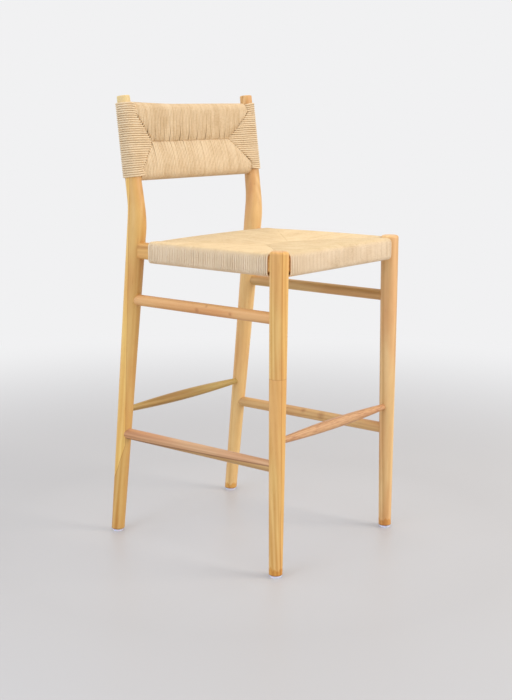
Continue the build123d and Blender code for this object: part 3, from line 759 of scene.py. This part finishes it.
back_cord = start_weave()
for side in (-1, 1):
    wrap_start = POST_WRAP_LIFT - edge_half_span
    for level in turn_places(wrap_start, edge_half_span + POST_WRAP_OVER[side]):
        radius = at_level(POST_RADIUS_BOTTOM, POST_RADIUS_TOP, level) + CORD_SEAT
        post_x = at_level(post_x_bottom, post_x_top, level)
        from_edge = max(edge_half_span - abs(level) - MITRE_START, 0.0)
        reach = MITRE_CLEAR + mitre_slope(side) * from_edge
        reach += rng.uniform(*WRAP_PLAY_MM["reach"]) * MM
        fan = -MITRE_FAN * level / edge_half_span
        turn = lean(post_turn(side, reach, radius), reach,
                    fan + rng.uniform(*WRAP_PLAY_MM["lean"]) * MM,
                    rng.uniform(*WRAP_PLAY_MM["bow"]) * MM)
        shift = rng.uniform(*WRAP_PLAY_MM["shift"]) * MM
        path = []
        for depth, front, drift in turn:
            across = Vector((side * (post_x - depth), 0, 0))
            path.append(back_middle + across + back_up * (level + shift + drift)
                        + back_front * front)
        lay_turn(back_cord, path, back_up, rng.uniform(*WRAP_TONES), rng.uniform(*WRAP_SWELL))
# The panels' turns bunch together in small groups on their way to the seam.
panel_half = at_level(post_x_bottom, post_x_top, 0.0) - MITRE_CLEAR
for updown in (-1, 1):
    group_end = -panel_half
    for spot in turn_places(-panel_half, panel_half):
        side = -1 if spot < 0 else 1
        mitre_drop = MITRE_START + (panel_half - abs(spot)) / mitre_slope(side)
        to_mitre = mitre_drop - RAIL_TURN - CORD / 2 - MITRE_GROOVE[side]
        to_mitre += rng.uniform(*PANEL_PLAY_MM["mitre"]) * MM
        reach = min(to_mitre, rail_half_span + rng.uniform(*PANEL_PLAY_MM["seam"]) * MM)
        lift = BOTTOM_HANG * (1 + spot / panel_half) / 2
        if updown > 0:
            to_corner = (-spot / panel_half - CORNER_LIFT_FROM) / (1 - CORNER_LIFT_FROM)
            lift = CORNER_LIFT * max(0.0, to_corner) ** CORNER_LIFT_CURVE
        if spot > group_end:
            group_start = spot
            group_end = spot + rng.uniform(*PANEL_PLAY_MM["group"]) * MM
            pull = GATHER[updown] * rng.uniform(*GATHER_PULL)
        gather = pull * (1 - 2 * (spot - group_start) / (group_end - group_start))
        turn = lean(rail_turn(reach, lift), reach,
                    gather + rng.uniform(*PANEL_PLAY_MM["lean"]) * MM,
                    rng.uniform(*PANEL_PLAY_MM["bow"]) * MM, PANEL_LEAN_CURVE)
        shift = rng.uniform(*PANEL_PLAY_MM["shift"]) * MM
        path = []
        for depth, front, drift in turn:
            level = updown * (rail_half_span - depth)
            across = Vector((spot + shift + drift, 0, 0))
            path.append(back_middle + across + back_up * level + back_front * front)
        # The per-panel tone offset is painted shade on the upper panel.
        lay_turn(back_cord, path, Vector((1, 0, 0)), BACK_PANEL_SHADE_TONE[updown] + rng.uniform(*PANEL_TONES),
                 rng.uniform(*PANEL_SWELL))
# White: no light is painted on the back cord's upward faces.
finish_weave(back_cord, "back_cord", "back_weave", paper_cord(
    "back_twisted_paper_cord", "#ECD4AE", "#E3C79E", "#CEAE82", "#FFFFFF"))


# Seat stuffing
# Folded corrugated card, slid in between the two layers of cord while the seat is wound. It keeps
# the seat from sagging, and only the cord holds it.

FLUTE = 6.5 * MM
FLUTE_RELIEF = 0.5 * MM
CARD_FIBRE_SIZE = 3.333 * MM


def corrugated_card(name):
    """Brown kraft card: matt, with fine flutes that show through the face."""
    material, tree, surface = new_material(name)
    place = add_node(tree, "ShaderNodeTexCoord", out="Object")
    flutes = add_node(tree, "ShaderNodeTexWave",
                      {"bands_direction": "X", "Scale": WAVE_REPEAT / FLUTE, "Distortion": 0.4},
                      {"Vector": place}, "Fac")
    fibre = add_node(tree, "ShaderNodeTexNoise", {"Scale": 1 / CARD_FIBRE_SIZE, "Detail": 4.0},
                     {"Vector": place})
    colour = add_node(tree, "ShaderNodeValToRGB", {"stops": [(0.3, "#8F7350"), (0.7, "#A98A63")]},
                      {"Fac": fibre})
    bump = add_node(tree, "ShaderNodeBump", {"Strength": 0.4, "Distance": FLUTE_RELIEF},
                    {"Height": flutes})
    shader = add_node(tree, "ShaderNodeBsdfPrincipled",
                      {"Roughness": 0.9, "Specular IOR Level": 0.2},
                      {"Base Color": colour, "Normal": bump})
    tree.links.new(shader, surface)
    return material


finish_node("seat_stuffing", corrugated_card("corrugated_kraft_card"))


# Glides
# A pad of natural nylon under each foot, moulded with a recess for the head of the bright wire nail
# that holds it.

SCUFF_SIZE = 2.0 * MM
NYLON_MILKINESS = 2.0 * MM
DRAW_MARK_SIZE = 0.6667 * MM


def moulded_nylon(name):
    """Natural nylon: milky white, faintly translucent, with a lightly scuffed skin."""
    material, tree, surface = new_material(name)
    place = add_node(tree, "ShaderNodeTexCoord", out="Object")
    scuff = add_node(tree, "ShaderNodeTexNoise", {"Scale": 1 / SCUFF_SIZE, "Detail": 4.0},
                     {"Vector": place})
    colour = add_node(tree, "ShaderNodeValToRGB", {"stops": [(0.35, "#CFCBD6"), (0.7, "#E4E2E8")]},
                      {"Fac": scuff})
    roughness = add_node(tree, "ShaderNodeMapRange", {"To Min": 0.35, "To Max": 0.6},
                         {"Value": scuff})
    shader = add_node(tree, "ShaderNodeBsdfPrincipled",
                      {"IOR": 1.53, "Subsurface Weight": 0.3, "Subsurface Scale": NYLON_MILKINESS},
                      {"Base Color": colour, "Roughness": roughness})
    tree.links.new(shader, surface)
    return material


def drawn_wire(name):
    """Bright drawn steel wire: a shiny grey metal with fine uneven marks."""
    material, tree, surface = new_material(name)
    place = add_node(tree, "ShaderNodeTexCoord", out="Object")
    marks = add_node(tree, "ShaderNodeTexNoise", {"Scale": 1 / DRAW_MARK_SIZE, "Detail": 2.0},
                     {"Vector": place})
    colour = add_node(tree, "ShaderNodeValToRGB", {"stops": [(0.3, "#9A9A9C"), (0.7, "#B9B9BB")]},
                      {"Fac": marks})
    roughness = add_node(tree, "ShaderNodeMapRange", {"To Min": 0.25, "To Max": 0.45},
                         {"Value": marks})
    shader = add_node(tree, "ShaderNodeBsdfPrincipled", {"Metallic": 1.0},
                      {"Base Color": colour, "Roughness": roughness})
    tree.links.new(shader, surface)
    return material


glide_nylon = moulded_nylon("moulded_natural_nylon")
for corner in ("front_right", "front_left", "rear_right", "rear_left"):
    finish_node(corner + "_glide", glide_nylon)
finish_node("glide_nails", drawn_wire("bright_drawn_wire"))


# Studio
# A pale painted floor with a soft sheen and some painted light under the stool that lifts its
# shadow, fading to the white of the room away from it. It lies a hair under the glides, and is
# clear from below and close to them, so that they stay lit. Large soft lights hang overhead, in
# front and at the right.

ROOM_WALL = "#F1F1F2"
ROOM_LIGHT = "#E0EAFA"
ROOM_LIGHT_STRENGTH = 1.15
FLOOR_RADIUS = 9.0
FLOOR_SIDES = 96
FLOOR_GAP = 0.3 * MM
FLOOR_CLEAR_WITHIN = 10 * FLOOR_GAP
# Painted light: the floor is lighter near the stool, to lift the stool's shadow.
FLOOR_TONES_PAINTED_LIGHT = [(0.15, "#C7C3BE"), (0.6, "#BAB6B1")]
FLOOR_GREY_TO = 0.8
FLOOR_WHITE_FROM = 2.4


def shown_rays(tree):
    """The rays that show the background itself: from the camera, mirrored, or through glass."""
    shown = add_node(tree, "ShaderNodeLightPath", out="Is Camera Ray")
    for kind in ("Is Glossy Ray", "Is Transmission Ray"):
        ray = add_node(tree, "ShaderNodeLightPath", out=kind)
        shown = add_node(tree, "ShaderNodeMath", {"operation": "MAXIMUM"}, {0: shown, 1: ray})
    return shown


floor_bmesh = bmesh.new()
bmesh.ops.create_circle(floor_bmesh, cap_ends=True, segments=FLOOR_SIDES, radius=FLOOR_RADIUS)
bmesh.ops.translate(floor_bmesh, verts=floor_bmesh.verts, vec=(0, 0, -FLOOR_GAP))
floor_mesh = bpy.data.meshes.new("studio_floor")
floor_bmesh.to_mesh(floor_mesh)
floor_bmesh.free()
studio_floor = bpy.data.objects.new("studio_floor", floor_mesh)
bpy.context.scene.collection.objects.link(studio_floor)
floor_paint, floor_tree, floor_surface = new_material("pale_floor_paint")
floor_place = add_node(floor_tree, "ShaderNodeTexCoord", out="Object")
floor_reach = add_node(floor_tree, "ShaderNodeVectorMath", {"operation": "LENGTH"},
                       {0: floor_place}, "Value")
floor_fade = add_node(floor_tree, "ShaderNodeMapRange",
                      {"interpolation_type": "SMOOTHSTEP",
                       "From Min": FLOOR_GREY_TO, "From Max": FLOOR_WHITE_FROM},
                      {"Value": floor_reach})
floor_fade = add_node(floor_tree, "ShaderNodeMath", {"operation": "MULTIPLY"},
                      {0: floor_fade, 1: shown_rays(floor_tree)})
floor_colour_painted_light = add_node(floor_tree, "ShaderNodeValToRGB", {"stops": FLOOR_TONES_PAINTED_LIGHT},
                      {"Fac": floor_reach})
floor_grey = add_node(floor_tree, "ShaderNodeBsdfPrincipled",
                      {"Roughness": 0.42, "Specular IOR Level": 0.3}, {"Base Color": floor_colour_painted_light})
floor_white = add_node(floor_tree, "ShaderNodeEmission", {"Color": linear(ROOM_WALL)})
floor_top = add_node(floor_tree, "ShaderNodeMixShader", {},
                     {0: floor_fade, 1: floor_grey, 2: floor_white})
floor_under = add_node(floor_tree, "ShaderNodeBsdfTransparent")
from_below = add_node(floor_tree, "ShaderNodeNewGeometry", out="Backfacing")
from_glide = add_node(floor_tree, "ShaderNodeLightPath", out="Ray Length")
from_glide = add_node(floor_tree, "ShaderNodeMath",
                      {"operation": "LESS_THAN", 1: FLOOR_CLEAR_WITHIN}, {0: from_glide})
floor_clear = add_node(floor_tree, "ShaderNodeMath", {"operation": "MAXIMUM"},
                       {0: from_below, 1: from_glide})
floor_shader = add_node(floor_tree, "ShaderNodeMixShader", {},
                        {0: floor_clear, 1: floor_top, 2: floor_under})
floor_tree.links.new(floor_shader, floor_surface)
floor_mesh.materials.append(floor_paint)

world = bpy.data.worlds.new("pale_room")
bpy.context.scene.world = world
world.use_nodes = True
room = world.node_tree
room.nodes.clear()
room_light = add_node(room, "ShaderNodeBackground",
                      {"Color": linear(ROOM_LIGHT), "Strength": ROOM_LIGHT_STRENGTH})
room_wall = add_node(room, "ShaderNodeBackground", {"Color": linear(ROOM_WALL), "Strength": 1.0})
room_mix = add_node(room, "ShaderNodeMixShader", {},
                    {0: shown_rays(room), 1: room_light, 2: room_wall})
room.links.new(room_mix, room.nodes.new("ShaderNodeOutputWorld").inputs["Surface"])

STUDIO_LIGHTS = {
    "overhead_softbox": ((0.0, 0.1, 3.2), (0.0, 0.0, 0.4), 3.4, 28.0, "#FFDDAA"),
    "front_softbox": ((1.4, -3.2, 1.9), (0.0, 0.0, 0.5), 1.8, 64.0, "#FFF9F2"),
    "side_softbox": ((-3.2, 0.2, 1.6), (0.0, 0.0, 0.5), 1.8, 33.0, "#D8E7FF"),
}
for name, (place, target, width, watts, hex_colour) in STUDIO_LIGHTS.items():
    lamp = bpy.data.lights.new(name, "AREA")
    lamp.shape = "SQUARE"
    lamp.size = width
    lamp.energy = watts
    lamp.color = linear(hex_colour)[:3]
    softbox = bpy.data.objects.new(name, lamp)
    softbox.location = place
    softbox.rotation_euler = (Vector(target) - Vector(place)).to_track_quat("-Z", "Y").to_euler()
    bpy.context.scene.collection.objects.link(softbox)

bpy.context.scene.view_settings.view_transform = "Standard"
